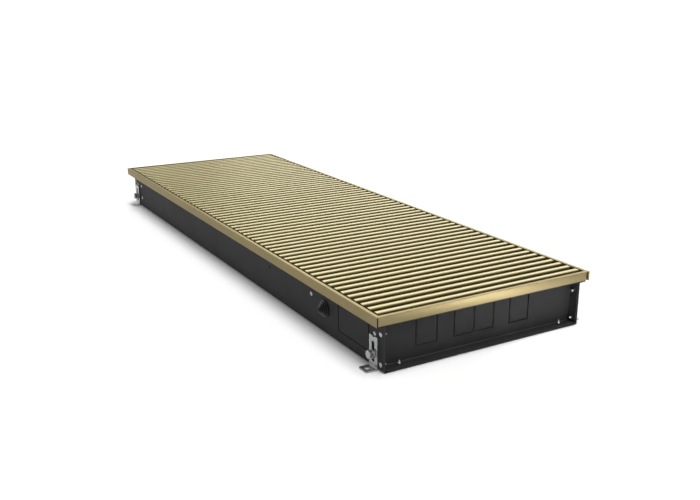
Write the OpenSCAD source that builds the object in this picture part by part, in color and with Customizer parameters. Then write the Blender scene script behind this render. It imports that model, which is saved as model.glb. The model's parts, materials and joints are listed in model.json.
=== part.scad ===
// Trench convector heater with a roll-up slatted grille, sunk level with a finished floor.
// Millimetres. +X is the connection end, -Y the side with the cable grommet, +Z up.
// The origin is on the ground, under the middle of the frame.

/* [Frame] */
// Outer length of the trim frame
frame_l = 1000; // [800:10:1400]
// Outer width of the trim frame
frame_w = 336; // [320:2:400]
// Height of the trim skirt
trim_h = 13; // [11:0.5:16]
// Wall of the trim profile
trim_wall = 0.8; // [0.6:0.1:1.2]
// Play between the hemmed lip and the trim profile, each side
trim_play = 0.5; // [0.2:0.05:0.6]
// Gap in the mitred corners of the trim frame
mitre_gap = 0.1; // [0:0.05:0.4]
// How far an end trim's top reaches inwards past the lip behind its skirt
end_cover = 0.3; // [0:0.1:1]
// How far an end trim's skirt stops short of the frame's sides
end_skirt_short = 3.4; // [2.5:0.1:5]
// Gap under the trim's inner leg, above the ledge
leg_gap = 1.1; // [0.4:0.1:3]

/* [Trough] */
// From the trough's underside to the top of the frame
trough_h = 74.5; // [72:0.5:110]
// Ground to the trough's underside, brackets fully up
ground_gap = 1; // [0.5:0.5:10]
// Thickness of the steel sheet
sheet = 1.2; // [0.8:0.1:1.5]
// Width of the ledge, from the wall's outer face to the lip's
ledge_w = 10.5; // [9:0.5:14]
// Height of the hem folded down outside the lip
hem_h = 9.8; // [7:0.2:11]
// How far the side walls stop short of the frame's ends
wall_short = 3.5; // [3:0.5:6]

/* [End plates] */
// Depth of the recess in front of each end plate
recess = 15; // [12:0.5:20]
// How far the end plate's flanges stop short of the trough's edge
flange_short = 1; // [0:0.5:3]
// Width of a pipe knock-out
knock_w = 31.3; // [26:0.1:34]
// Height of a pipe knock-out
knock_h = 36; // [26:1:38]
// Distance between the outer and the middle knock-outs
knock_gap = 26.7; // [18:0.1:30]
// Lower edge of the end knock-outs above the trough's underside
knock_low = 18.5; // [14:0.5:19]
// Sideways place of the knock-outs and of the heat exchanger
bank_y = -10.7; // [-12:0.1:12]
// Width of the slits around a knock-out
slit = 1.2; // [0.8:0.1:1.6]
// Width of the small bridges that hold a knock-out
bridge = 1.2; // [0.8:0.1:2]

/* [Side wall] */
// Length of the side knock-out
side_knock_l = 74.6; // [50:0.2:90]
// Height of the side knock-out
side_knock_h = 38.8; // [25:0.2:40]
// Lower edge of the side knock-out above the trough's underside
side_knock_low = 16.2; // [14:0.2:18]
// From the frame's end to the side knock-out's near slit
side_knock_end = 38.9; // [38:0.1:60]
// Radius of the cable grommet's groove
grommet_r = 9; // [6:0.5:11]
// Radius of the cable grommet's outer flange
grommet_flange_r = 11.7; // [11.5:0.1:13]
// From the frame's end to the cable grommet's axis
grommet_end = 148.7; // [146:0.1:160]
// Height of the cable grommet's axis above the trough's underside
grommet_h = 34.5; // [30:0.5:40]
// Radius of the cable grommet's tip
grommet_tip_r = 3.2; // [2:0.1:5]
// How far each step of the grommet stands out
grommet_step = 2; // [1:0.5:3]
// Number of steps on the grommet
grommet_steps = 4; // [3:1:5]
// Upper row of rivets and holes above the trough's underside
row_high = 43.5; // [42:0.5:46]
// Lower row of rivets and holes above the trough's underside
row_low = 18.5; // [16:0.5:20]
// From the frame's end to the pair of spare holes
spare_end = 320; // [250:1:400]

/* [Rivets] */
// Radius of a rivet's shank
rivet_r = 1.6; // [1.2:0.1:2]
// Radius of a rivet's domed head
rivet_head_r = 3.2; // [2.6:0.1:3.4]
// Height of a rivet's domed head
rivet_head_h = 1.4; // [0.8:0.1:2]
// Length of a rivet's formed tail inside the sheets
rivet_tail = 5; // [3:0.5:6]
// Swell of the tail's end over the shank
rivet_swell = 0.5; // [0.2:0.1:0.8]
// From the trough's end edge to the rivets of the end plate
end_rivet_in = 8; // [6.5:0.5:9]
// Upper rivets of the end plate above the trough's underside
end_rivet_high = 47; // [42:0.5:50]
// Lower rivets of the end plate above the trough's underside
end_rivet_low = 8.2; // [7:0.2:10]
// From the side wall's inner face to the floor rivets
floor_rivet_in = 25.1; // [16:0.1:50]

/* [Levelling brackets] */
// From the frame's end to a bracket's middle
bracket_end = 25; // [24.5:0.5:26]
// Width of a bracket
bracket_w = 18; // [14:0.5:20]
// Thickness of a bracket
bracket_t = 2.2; // [1.5:0.1:2.5]
// Gap between bracket and trough wall
bracket_gap = 0.3; // [0.2:0.1:0.6]
// From the stop rivet's axis down to a bracket's top edge
bracket_below = 2; // [0:0.5:3]
// Length of the foot, outwards from the upright
foot_l = 17; // [14:0.5:24]
// Radius of the foot's fixing hole
foot_hole_r = 3.5; // [2.2:0.1:4]
// From the foot's outer edge to the fixing hole's middle
foot_hole_in = 6.8; // [5:0.1:8]
// Width of the upright's slot
slot_w = 6.4; // [6.2:0.1:7]
// How far the bracket can be screwed down from its highest place
bracket_travel = 13; // [8:0.5:13]
// Play under the slot's lower end when the bracket is fully up
slot_below = 10.4; // [4:0.2:12]
// Play around the rivet that is the bracket's upper stop
stop_play = 0.4; // [0.3:0.1:0.8]

/* [Clamp bolts] */
// Radius of the bolt's shank
bolt_r = 3; // [2:0.5:3]
// Width across the flats of the bolt's head
bolt_flats = 10; // [8:0.5:11]
// Height of the bolt's head
bolt_head_h = 4; // [3:0.5:5]
// Radius of the flat washer
washer_r = 6; // [5.5:0.1:6.5]
// Thickness of the flat washer and of the spring washer
washer_t = 1.6; // [1:0.1:2]
// Radius of the spring washer
spring_washer_r = 5; // [4.6:0.1:5.4]
// Width of the split in the spring washer
spring_split = 1.2; // [0.6:0.1:2]
// Gap between bracket and flat washer
clamp_play = 0.2; // [0.1:0.1:0.4]
// Radius of the clinch nut behind the wall
nut_r = 4.5; // [3.8:0.1:5]
// Length of the clinch nut
nut_l = 6; // [4:0.5:8]
// How far the bolt stands out of the clinch nut
bolt_end = 2; // [0.5:0.5:4]

/* [Grille] */
// Width of a slat's top
slat_w = 6.6; // [5:0.1:8]
// Height of a slat
slat_h = 12; // [11:0.5:12.5]
// Distance from slat to slat
slat_pitch = 16.14; // [12:0.01:18]
// Gap between the grille and the trim
slat_gap = 3; // [1.5:0.1:4]
// Thickness of a slat's web
web_t = 1.8; // [1.2:0.1:2.2]
// Height of a slat's top flange
slat_top_h = 2.2; // [1.6:0.1:2.6]
// Width of a slat's foot
slat_foot_w = 5; // [4:0.1:6]
// Height of a slat's foot
slat_foot_h = 1.6; // [1.2:0.1:2]
// Bevel along a slat's top edges
slat_bevel = 0.6; // [0.2:0.1:1]
// Sideways distance of the outer link wires from the middle
wire_y = 110; // [80:1:130]
// Radius of a link wire
wire_r = 1.5; // [1:0.1:1.8]
// Radius of a spacer tube between two slats
spacer_r = 3; // [2.4:0.1:3.4]
// Play around a link wire in its holes
wire_play = 0.1; // [0.05:0.05:0.3]
// Length of the ferrule on each wire end
ferrule_l = 4; // [2:0.5:5]
// Thickness of the rubber strip under the slats
pad_t = 2.1; // [1:0.1:3]
// How far the rubber strip stays clear of the wall and the trim
pad_side = 0.4; // [0.2:0.1:1]

/* [Heat exchanger] */
// Outer diameter of the copper tube
tube_d = 15; // [12:0.5:18]
// Wall of the copper tube
tube_wall = 0.8; // [0.6:0.1:1.2]
// Distance from fin to fin
fin_pitch = 6; // [4:0.5:10]
// Thickness of a fin
fin_t = 0.4; // [0.3:0.1:0.8]
// Height of a fin
fin_h = 46; // [36:1:48]
// How far the fins reach past the outer tubes
fin_side = 21.4; // [14:0.2:24]
// Wall of the collar around each tube, from fin to fin
collar_t = 0.4; // [0.3:0.1:0.8]
// From the frame's end to the rivets of the near support
near_support_end = 186.7; // [175:0.1:195]
// From the near support's plate to its rivets
near_support_flange = 6; // [5:0.5:8]
// From the frame's end to the rivets of the far support
far_support_end = 50; // [50:1:60]
// From the far support's plate to its rivets
far_support_flange = 18; // [16:0.5:22]
// From a support's rivets to the flange's edge
support_edge = 6; // [4:0.5:8]
// Height of the support plates above the trough's floor
support_h = 55.5; // [50:0.5:56]
// Play around the tubes in the support plates
support_play = 0.3; // [0.1:0.1:0.6]
// Length of the tubes past the near support's plate
tube_past_near = 44; // [40:1:50]
// Length of the tubes past the far support's plate
tube_past_far = 14; // [12:0.5:14]
// Length of the socket that joins a bend to a tube
socket_l = 8; // [6:0.5:10]
// Wall of the socket
socket_t = 0.9; // [0.6:0.1:1.2]

/* [Connections] */
// Radius of the threaded bore in the fittings
thread_r = 9.3; // [8:0.1:10]
// Depth of the threaded bore
thread_l = 14; // [10:0.5:16]
// Outer radius of the fitting around the thread
fitting_r = 13; // [12:0.5:14]
// Width across the flats of the fitting's hexagon
fitting_flats = 24; // [22:0.5:25]
// Length of the fitting's hexagon
fitting_hex_l = 12; // [10:0.5:14]
// Wall of the fitting's solder socket
fitting_socket_t = 2; // [1:0.1:3]
// Width across the flats of the air vent
vent_flats = 9; // [8:0.5:10]
// Height of the air vent's body above the fitting
vent_h = 6; // [4:0.5:7]
// Radius of the vent screw's shank
vent_screw_r = 2; // [1.5:0.1:2.5]
// Radius of the vent screw's head
vent_head_r = 3.2; // [2.8:0.1:4]
// Height of the vent screw's head
vent_head_h = 3; // [2:0.2:3.4]
// Running clearance of the vent screw
vent_play = 0.08; // [0.05:0.01:0.1]

/* [Earth stud] */
// Radius of the earth stud
earth_r = 2.5; // [2:0.1:3]
// Height of the earth stud
earth_h = 16; // [14:0.5:24]
// Radius of the earth stud's welded foot
earth_foot_r = 4; // [3.2:0.1:6]
// Thickness of the earth stud's welded foot
earth_foot_t = 1; // [0.5:0.1:2]
// Width across the flats of the earth nuts
earth_flats = 8; // [7:0.5:9]
// Thickness of an earth nut
earth_nut_h = 4; // [3:0.5:5]
// Radius of the earth washer
earth_washer_r = 5; // [4.5:0.1:6]
// Thickness of the earth washer
earth_washer_t = 1; // [0.6:0.1:1.6]
// From the frame's end to the earth stud
earth_end = 70; // [60:1:90]
// From the side wall's inner face to the earth stud
earth_in = 28.8; // [20:0.1:38]

/* [Hidden] */

$fn = 48;
over = 1;
hole_play = 0.1;

// Heights
under_z = ground_gap;
floor_z = under_z + sheet;
top_z = under_z + trough_h;
skirt_z = top_z - trim_h;
slat_z = top_z - slat_h;
ledge_z = slat_z - pad_t;
lip_top_z = top_z - trim_wall;
high_z = under_z + row_high;
low_z = under_z + row_low;
knock_z = under_z + knock_low;
tube_z = knock_z + knock_h / 2;

// Trim profile: its hollow holds the hemmed lip, two sheets thick
hollow_w = 2 * (sheet + trim_play);
trim_w = hollow_w + 2 * trim_wall;

// Half widths
trim_y = frame_w / 2;
hem_y = trim_y - trim_wall - trim_play;
lip_y = hem_y - sheet;
wall_y = lip_y - ledge_w;
wall_in_y = wall_y - sheet;
trim_in_y = trim_y - trim_w;
slat_end_y = trim_in_y - slat_gap;

// Half lengths
trim_x = frame_l / 2;
lip_in_x = trim_x - trim_w + end_cover;
lip_x = lip_in_x + sheet;
end_skirt_x = lip_x + trim_play;
trough_x = trim_x - wall_short;
plate_x = trough_x - recess;
end_flange_x = trough_x - flange_short;
trim_in_x = trim_x - trim_w;
bracket_x = trim_x - bracket_end;
end_rivet_x = trough_x - end_rivet_in;

// Knock-outs and tubes share one pattern
pair_y = knock_w / 2;
outer_y = 1.5 * knock_w + knock_gap;
knock_ys = [bank_y - outer_y, bank_y - pair_y, bank_y + pair_y, bank_y + outer_y];
tube_pitch = 2 * outer_y / 3;
tube_r = tube_d / 2;
tube_ys = [for (i = [-1.5:1:1.5]) bank_y + i * tube_pitch];

// Heat exchanger
near_rivet_x = trim_x - near_support_end;
near_support_x = near_rivet_x - near_support_flange;
far_rivet_x = far_support_end - trim_x;
far_support_x = far_rivet_x + far_support_flange;
tube_near_x = near_support_x + tube_past_near;
tube_far_x = far_support_x - tube_past_far;
fin_first_x = far_support_x + sheet + fin_pitch / 4;
fin_room = near_support_x - sheet - fin_pitch / 4 - fin_first_x - fin_t;
fin_n = floor(fin_room / fin_pitch) + 1;
fin_half_w = outer_y + fin_side;
collar_r = tube_r + collar_t;
bend_r = tube_pitch / 2;

// Levelling brackets
strip_in_y = wall_y + bracket_gap;
strip_out_y = strip_in_y + bracket_t;
foot_out_y = strip_in_y + foot_l;
foot_hole_y = foot_out_y - foot_hole_in;
slot_low_z = low_z - slot_below;
slot_high_z = low_z + bracket_travel;
notch_r = rivet_head_r + stop_play;
washer_y = strip_out_y + clamp_play;
spring_y = washer_y + washer_t;
bolt_head_y = spring_y + washer_t;
bolt_tip_y = wall_in_y - nut_l - bolt_end;

// Pieces on the floor beside the wall
floor_rivet_y = wall_in_y - floor_rivet_in;
earth_y = wall_in_y - earth_in;

// Grille
last_slat_reach = max(slat_w / 2, web_t / 2 + ferrule_l);
slat_n = floor(2 * (trim_in_x - slat_gap - last_slat_reach) / slat_pitch) + 1;
slat_first_x = -(slat_n - 1) / 2 * slat_pitch;
wire_z = slat_z + (slat_foot_h + slat_h - slat_top_h) / 2;
wire_ys = [-wire_y, 0, wire_y];
wire_half_l = -slat_first_x + web_t / 2 + ferrule_l;

// Fittings
fitting_hex_x = tube_near_x;
fitting_body_x = fitting_hex_x + fitting_hex_l;
fitting_end_x = fitting_body_x + thread_l;
waterway_r = tube_r - tube_wall;
fitting_socket_r = tube_r + fitting_socket_t;
vent_x = fitting_hex_x + fitting_hex_l / 2;
vent_seat_z = tube_z + fitting_flats / 2;
vent_top_z = vent_seat_z + vent_h;

// Colours
black_paint = [0.13, 0.13, 0.14];
gold_anodised = [0.80, 0.73, 0.52];
zinc = [0.78, 0.79, 0.80];
copper = [0.80, 0.47, 0.30];
fin_metal = [0.82, 0.83, 0.84];
brass = [0.80, 0.66, 0.34];
rubber = [0.06, 0.06, 0.06];

// ---- Helpers ----

// A block from one corner to the other
module block(low, high) {
    translate(low) cube(high - low);
}

// A section drawn in (Y, Z), drawn out along X from x0 to x1
module along_x(x0, x1) {
    translate([x0, 0, 0]) rotate([90, 0, 90]) linear_extrude(x1 - x0) children();
}

// A section drawn in (X, Z), drawn out along Y about the middle
module along_y(half) {
    rotate([90, 0, 0]) linear_extrude(2 * half, center = true) children();
}

module both_sides() {
    children();
    mirror([0, 1, 0]) children();
}

module both_ends() {
    children();
    mirror([1, 0, 0]) children();
}

// A rod along Y from y0 to y1
module rod_y(x, y0, y1, z, r) {
    translate([x, y1, z]) rotate([90, 0, 0]) cylinder(h = y1 - y0, r = r);
}

// A rod along X from x0 to x1
module rod_x(x0, x1, y, z, r) {
    translate([x0, y, z]) rotate([0, 90, 0]) cylinder(h = x1 - x0, r = r);
}

// A hexagonal prism that stands on its end
module hexagon(flats, h) {
    cylinder(h = h, r = flats / sqrt(3), $fn = 6);
}

// A tube along Z
module pipe(h, outer, inner) {
    difference() {
        cylinder(h = h, r = outer);
        translate([0, 0, -over]) cylinder(h = h + 2 * over, r = inner);
    }
}

// ---- Sheet-metal trough ----

module trough_section() {
    translate([-wall_y, under_z]) square([2 * wall_y, sheet]);
    for (side = [0, 1]) mirror([side, 0]) {
        translate([wall_in_y, under_z]) square([sheet, ledge_z - under_z]);
        translate([wall_in_y, ledge_z - sheet]) square([lip_y - wall_in_y, sheet]);
        translate([lip_y - sheet, ledge_z - sheet]) square([sheet, lip_top_z - ledge_z + sheet]);
        translate([lip_y, lip_top_z - hem_h]) square([sheet, hem_h]);
    }
}

// Slits round a panel in (across, up), with a bridge in the middle of each upright and of the top
module knock_out_slits(w, h) {
    for (x = [-w / 2, w / 2], half = [0, 1])
        translate([x - slit / 2, -slit / 2 + half * (h + slit + bridge) / 2])
            square([slit, (h + slit - bridge) / 2]);
    translate([-w / 2, -slit / 2]) square([w, slit]);
    for (half = [0, 1])
        translate([-w / 2 + half * (w + bridge) / 2, h - slit / 2]) square([(w - bridge) / 2, slit]);
}

module wall_hole(x, z, r) {
    rod_y(x, wall_in_y - over, wall_y + over, z, r);
}

module trough_cuts() {
    hole_r = rivet_r + hole_play;
    both_sides() {
        both_ends() {
            wall_hole(end_rivet_x, under_z + end_rivet_high, hole_r);
            wall_hole(end_rivet_x, under_z + end_rivet_low, hole_r);
            wall_hole(bracket_x, high_z, hole_r);
            wall_hole(bracket_x, low_z, bolt_r);
            translate([end_rivet_x, floor_rivet_y, under_z]) floor_rivet_cut();
        }
        wall_hole(near_rivet_x, high_z, hole_r);
        wall_hole(far_rivet_x, high_z, hole_r);
        wall_hole(far_rivet_x, low_z, hole_r);
        wall_hole(trim_x - spare_end, high_z, hole_r);
        wall_hole(trim_x - spare_end, low_z, hole_r);
    }
    rod_y(trim_x - grommet_end, -wall_y - over, -wall_in_y + over, under_z + grommet_h, grommet_r);
    translate([trim_x - side_knock_end - side_knock_l / 2, -wall_in_y + over, under_z + side_knock_low])
        rotate([90, 0, 0]) linear_extrude(sheet + 2 * over) knock_out_slits(side_knock_l, side_knock_h);
}

module trough() {
    color(black_paint) difference() {
        along_x(-trough_x, trough_x) trough_section();
        trough_cuts();
    }
}

// ---- End plates ----

// The pan at the connection end: plate, flanges bent outwards, ledge and lip
module end_pan() {
    block([plate_x - sheet, -wall_in_y, floor_z], [plate_x, wall_in_y, ledge_z]);
    block([plate_x - sheet, -wall_in_y, floor_z], [end_flange_x, wall_in_y, floor_z + sheet]);
    both_sides()
        block([plate_x - sheet, wall_in_y - sheet, floor_z], [end_flange_x, wall_in_y, ledge_z]);
    block([plate_x - sheet, -wall_in_y, ledge_z - sheet], [lip_x, wall_in_y, ledge_z]);
    block([lip_in_x, -wall_in_y, ledge_z - sheet], [lip_x, wall_in_y, lip_top_z]);
    lip_half = trim_in_y - 2 * trim_play;
    block([lip_in_x, -lip_half, ledge_z + leg_gap], [lip_x, lip_half, lip_top_z]);
}

module end_plate() {
    hole_r = rivet_r + hole_play;
    difference() {
        end_pan();
        for (y = knock_ys)
            translate([plate_x - sheet - over, y, knock_z]) rotate([90, 0, 90])
                linear_extrude(sheet + 2 * over) knock_out_slits(knock_w, knock_h);
        both_sides() {
            for (h = [end_rivet_high, end_rivet_low])
                rod_y(end_rivet_x, wall_in_y - sheet - over, wall_in_y + over, under_z + h, hole_r);
            translate([end_rivet_x, floor_rivet_y, floor_z - over])
                cylinder(h = sheet + 2 * over, r = hole_r);
        }
    }
}

module near_end_plate() {
    color(black_paint) end_plate();
}

// The same pressing, turned round
module far_end_plate() {
    color(black_paint) rotate([0, 0, 180]) end_plate();
}

// ---- Rivets ----

// A blind rivet along +Z: domed head below the sheets, formed tail above them
module rivet(grip) {
    dome_r = (pow(rivet_head_r, 2) + pow(rivet_head_h, 2)) / (2 * rivet_head_h);
    intersection() {
        translate([0, 0, dome_r - rivet_head_h]) sphere(dome_r);
        translate([0, 0, -rivet_head_h]) cylinder(h = rivet_head_h, r = rivet_head_r);
    }
    rivet_tail_end(grip);
}

module rivet_tail_end(grip) {
    cylinder(h = grip + rivet_tail, r = rivet_r);
    translate([0, 0, grip + rivet_tail / 2]) cylinder(h = rivet_tail / 2, r = rivet_r + rivet_swell);
}

// Countersunk rivet in the trough's floor, flush with the underside
module floor_rivet() {
    cylinder(h = sheet - rivet_swell, r1 = rivet_r + 2 * rivet_swell, r2 = rivet_r);
    rivet_tail_end(2 * sheet);
}

module floor_rivet_cut() {
    hole_r = rivet_r + hole_play;
    cylinder(h = sheet - rivet_swell, r1 = hole_r + 2 * rivet_swell, r2 = hole_r);
    translate([0, 0, -over]) cylinder(h = sheet + 2 * over, r = hole_r);
}

// A rivet set in the -Y wall from outside
module wall_rivet(x, z, sheets) {
    translate([x, -wall_y, z]) rotate([-90, 0, 0]) rivet(sheets * sheet);
}

module end_plate_rivets() {
    color(zinc) both_sides() both_ends() for (h = [end_rivet_high, end_rivet_low])
        wall_rivet(end_rivet_x, under_z + h, 2);
}

module floor_rivets() {
    color(zinc) both_sides() both_ends()
        translate([end_rivet_x, floor_rivet_y, under_z]) floor_rivet();
}

module support_rivets() {
    color(zinc) both_sides() {
        wall_rivet(near_rivet_x, high_z, 2);
        wall_rivet(far_rivet_x, high_z, 2);
        wall_rivet(far_rivet_x, low_z, 2);
    }
}

// Each is the upper stop of a levelling bracket
module stop_rivets() {
    color(zinc) both_sides() both_ends() wall_rivet(bracket_x, high_z, 1);
}

// ---- Trim frame ----

// Inverted U that clips over the lip, outer face at x = 0, drawn in (inwards, up)
module side_trim_section() {
    translate([0, top_z - trim_wall]) square([trim_w, trim_wall]);
    translate([0, skirt_z]) square([trim_wall, trim_h]);
    translate([trim_w - trim_wall, ledge_z + leg_gap])
        square([trim_wall, top_z - ledge_z - leg_gap]);
}

// A block that reaches from the mitre of the corner at (trim_x, -trim_y) towards the -Y profile
// (way = -1) or away from it (way = 1), and takes half of the mitre's gap as well
module past_mitre(way) {
    reach = 2 * trim_w;
    low = way > 0 ? -mitre_gap / 2 : -reach;
    high = way > 0 ? reach : mitre_gap / 2;
    translate([trim_x, -trim_y, 0]) rotate([0, 0, 45])
        block([low, -reach, skirt_z - over], [high, reach, top_z + over]);
}

// The long profile on the -Y side, mitred at both ends
module side_trim() {
    difference() {
        along_x(-trim_x, trim_x) translate([-trim_y, 0]) side_trim_section();
        both_ends() past_mitre(1);
    }
}

// The short profile at the connection end: mitred top, with the skirt set back under it
module end_trim() {
    skirt_half = trim_y - end_skirt_short;
    difference() {
        block([trim_in_x, -trim_y, top_z - trim_wall], [trim_x, trim_y, top_z]);
        both_sides() past_mitre(-1);
    }
    block([end_skirt_x, -skirt_half, skirt_z], [end_skirt_x + trim_wall, skirt_half, top_z - trim_wall]);
}

module front_trim() {
    color(gold_anodised) side_trim();
}

module back_trim() {
    color(gold_anodised) mirror([0, 1, 0]) side_trim();
}

module near_end_trim() {
    color(gold_anodised) end_trim();
}

module far_end_trim() {
    color(gold_anodised) mirror([1, 0, 0]) end_trim();
}

// ---- Rubber strips that carry the slats ----

module rest_strip() {
    strip_x = trim_in_x - pad_side;
    block([-strip_x, wall_in_y + pad_side, ledge_z], [strip_x, trim_in_y - pad_side, slat_z]);
}

module front_rest_strip() {
    color(rubber) mirror([0, 1, 0]) rest_strip();
}

module back_rest_strip() {
    color(rubber) rest_strip();
}

// ---- Heat exchanger ----

// Fins with collars that run from fin to fin around each tube
module exchanger_fins() {
    fin_last_x = fin_first_x + (fin_n - 1) * fin_pitch;
    color(fin_metal) difference() {
        union() {
            for (i = [0:fin_n - 1]) {
                x = fin_first_x + i * fin_pitch;
                block([x, bank_y - fin_half_w, tube_z - fin_h / 2],
                      [x + fin_t, bank_y + fin_half_w, tube_z + fin_h / 2]);
            }
            for (y = tube_ys) rod_x(fin_first_x, fin_last_x + fin_t, y, tube_z, collar_r);
        }
        for (y = tube_ys) rod_x(fin_first_x - over, fin_last_x + fin_t + over, y, tube_z, tube_r);
    }
}

module exchanger_tubes() {
    color(copper) for (y = tube_ys)
        translate([tube_far_x, y, tube_z]) rotate([0, 90, 0])
            pipe(tube_near_x - tube_far_x, tube_r, waterway_r);
}

// U-bend between tubes at y = -bend_r and +bend_r, bulging towards +X from x = 0
module return_bend() {
    rotate([0, 0, -90]) rotate_extrude(angle = 180) translate([bend_r, 0]) difference() {
        circle(tube_r);
        circle(waterway_r);
    }
    for (y = [-bend_r, bend_r]) {
        translate([-socket_l, y, 0]) rotate([0, 90, 0]) pipe(socket_l, tube_r + socket_t, tube_r);
        translate([0, y, 0]) rotate([0, 90, 0])
            pipe(socket_t, tube_r + socket_t, tube_r - tube_wall / 2);
    }
}

module near_return_bend() {
    color(copper) translate([tube_near_x, bank_y, tube_z]) return_bend();
}

module far_return_bends() {
    color(copper) for (side = [-1, 1])
        translate([tube_far_x, bank_y + side * tube_pitch, tube_z]) mirror([1, 0, 0]) return_bend();
}

// Plate across the trough with flanges bent away from the fins; plate at x = 0, flanges to x = l
module support(l, rivet_at, rows) {
    difference() {
        union() {
            block([-sheet, -wall_in_y, floor_z], [0, wall_in_y, floor_z + support_h]);
            block([-sheet, -wall_in_y, floor_z], [l, wall_in_y, floor_z + sheet]);
            both_sides()
                block([-sheet, wall_in_y - sheet, floor_z], [l, wall_in_y, floor_z + support_h]);
        }
        both_sides() for (z = rows)
            rod_y(rivet_at, wall_in_y - sheet - over, wall_in_y + over, z, rivet_r + hole_play);
    }
}

module tube_holes(x) {
    for (y = tube_ys) rod_x(x - sheet - over, x + sheet + over, y, tube_z, tube_r + support_play);
}

module near_support() {
    color(black_paint) difference() {
        translate([near_support_x, 0, 0])
            support(near_support_flange + support_edge, near_support_flange, [high_z]);
        tube_holes(near_support_x);
    }
}

module far_support() {
    color(black_paint) difference() {
        translate([far_support_x, 0, 0]) mirror([1, 0, 0])
            support(far_support_flange + support_edge, far_support_flange, [high_z, low_z]);
        tube_holes(far_support_x);
    }
}

// ---- Water connections ----

// Fitting with a solder socket over the tube's end, a hexagon and a threaded mouth
module fitting(y) {
    translate([0, y, tube_z]) rotate([0, 90, 0]) difference() {
        union() {
            translate([0, 0, fitting_hex_x - socket_l])
                cylinder(h = fitting_end_x - fitting_hex_x + socket_l, r = fitting_socket_r);
            translate([0, 0, fitting_hex_x]) rotate([0, 0, 30]) hexagon(fitting_flats, fitting_hex_l);
            translate([0, 0, fitting_body_x]) cylinder(h = thread_l, r = fitting_r);
        }
        translate([0, 0, fitting_hex_x - socket_l - over]) cylinder(h = socket_l + over, r = tube_r);
        translate([0, 0, fitting_hex_x - over]) cylinder(h = fitting_hex_l + 2 * over, r = waterway_r);
        translate([0, 0, fitting_end_x - thread_l]) cylinder(h = thread_l + over, r = thread_r);
    }
}

module inlet_fitting() {
    color(brass) fitting(tube_ys[0]);
}

module vent_bore(z0, z1) {
    translate([vent_x, tube_ys[3], z0]) cylinder(h = z1 - z0, r = vent_screw_r + vent_play);
}

module outlet_fitting() {
    color(brass) difference() {
        fitting(tube_ys[3]);
        vent_bore(tube_z, vent_seat_z + over);
    }
}

module vent_body() {
    color(brass) difference() {
        translate([vent_x, tube_ys[3], vent_seat_z]) hexagon(vent_flats, vent_h);
        vent_bore(vent_seat_z - over, vent_top_z + over);
    }
}

// Slotted screw that opens the vent
module vent_screw() {
    slot_cut = vent_head_h / 2;
    color(brass) translate([vent_x, tube_ys[3], 0]) {
        translate([0, 0, vent_seat_z]) cylinder(h = vent_h + vent_play + slot_cut / 2, r = vent_screw_r);
        difference() {
            translate([0, 0, vent_top_z + vent_play]) cylinder(h = vent_head_h, r = vent_head_r);
            block([-vent_head_r - over, -slot_cut / 3, vent_top_z + vent_play + slot_cut],
                  [vent_head_r + over, slot_cut / 3, vent_top_z + vent_play + vent_head_h + over]);
        }
    }
}

// ---- Cable entry and earth ----

// Stepped grommet, snapped into the wall from outside
module cable_grommet() {
    step_in = (grommet_flange_r - grommet_tip_r) / grommet_steps;
    color(rubber) translate([trim_x - grommet_end, -wall_y, under_z + grommet_h]) rotate([90, 0, 0]) {
        cylinder(h = grommet_step, r = grommet_flange_r);
        for (i = [1:grommet_steps])
            translate([0, 0, i * grommet_step])
                cylinder(h = grommet_step, r = grommet_flange_r - i * step_in);
        translate([0, 0, -sheet]) cylinder(h = sheet, r = grommet_r);
        translate([0, 0, -sheet - grommet_step])
            cylinder(h = grommet_step, r1 = grommet_r, r2 = (grommet_r + grommet_flange_r) / 2);
    }
}

module at_earth() {
    translate([trim_x - earth_end, -earth_y, floor_z]) children();
}

module earth_stud() {
    color(zinc) at_earth() {
        cylinder(h = earth_h, r = earth_r);
        cylinder(h = earth_foot_t, r = earth_foot_r);
    }
}

module earth_nut_at(z) {
    translate([0, 0, z]) difference() {
        hexagon(earth_flats, earth_nut_h);
        translate([0, 0, -over]) cylinder(h = earth_nut_h + 2 * over, r = earth_r);
    }
}

module earth_nuts() {
    color(brass) at_earth() {
        earth_nut_at(earth_foot_t);
        earth_nut_at(earth_foot_t + earth_nut_h + earth_washer_t);
    }
}

module earth_washer() {
    color(brass) at_earth() translate([0, 0, earth_foot_t + earth_nut_h])
        pipe(earth_washer_t, earth_washer_r, earth_r);
}

// ---- Levelling brackets ----

// The bracket on the +Y wall at the connection end
module bracket() {
    strip_x0 = bracket_x - bracket_w / 2;
    strip_x1 = bracket_x + bracket_w / 2;
    slot_r = slot_w / 2;
    difference() {
        union() {
            block([strip_x0, strip_in_y, 0], [strip_x1, strip_out_y, high_z - bracket_below]);
            block([strip_x0, strip_in_y, 0], [strip_x1, foot_out_y, bracket_t]);
        }
        for (z = [slot_low_z + slot_r, slot_high_z])
            rod_y(bracket_x, strip_in_y - over, strip_out_y + over, z, slot_r);
        block([bracket_x - slot_r, strip_in_y - over, slot_low_z + slot_r],
              [bracket_x + slot_r, strip_out_y + over, slot_high_z]);
        rod_y(bracket_x, strip_in_y - over, strip_out_y + over, high_z, notch_r);
        translate([bracket_x, foot_hole_y, -over]) cylinder(h = bracket_t + 2 * over, r = foot_hole_r);
    }
}

module near_back_bracket() {
    color(zinc) bracket();
}

module near_front_bracket() {
    color(zinc) mirror([0, 1, 0]) bracket();
}

module far_back_bracket() {
    color(zinc) mirror([1, 0, 0]) bracket();
}

module far_front_bracket() {
    color(zinc) mirror([1, 0, 0]) mirror([0, 1, 0]) bracket();
}

// Places its children at the four bolts, +Z pointing out of the wall from y = 0
module at_bolts() {
    both_sides() both_ends() translate([bracket_x, 0, low_z]) rotate([-90, 0, 0]) children();
}

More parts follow.
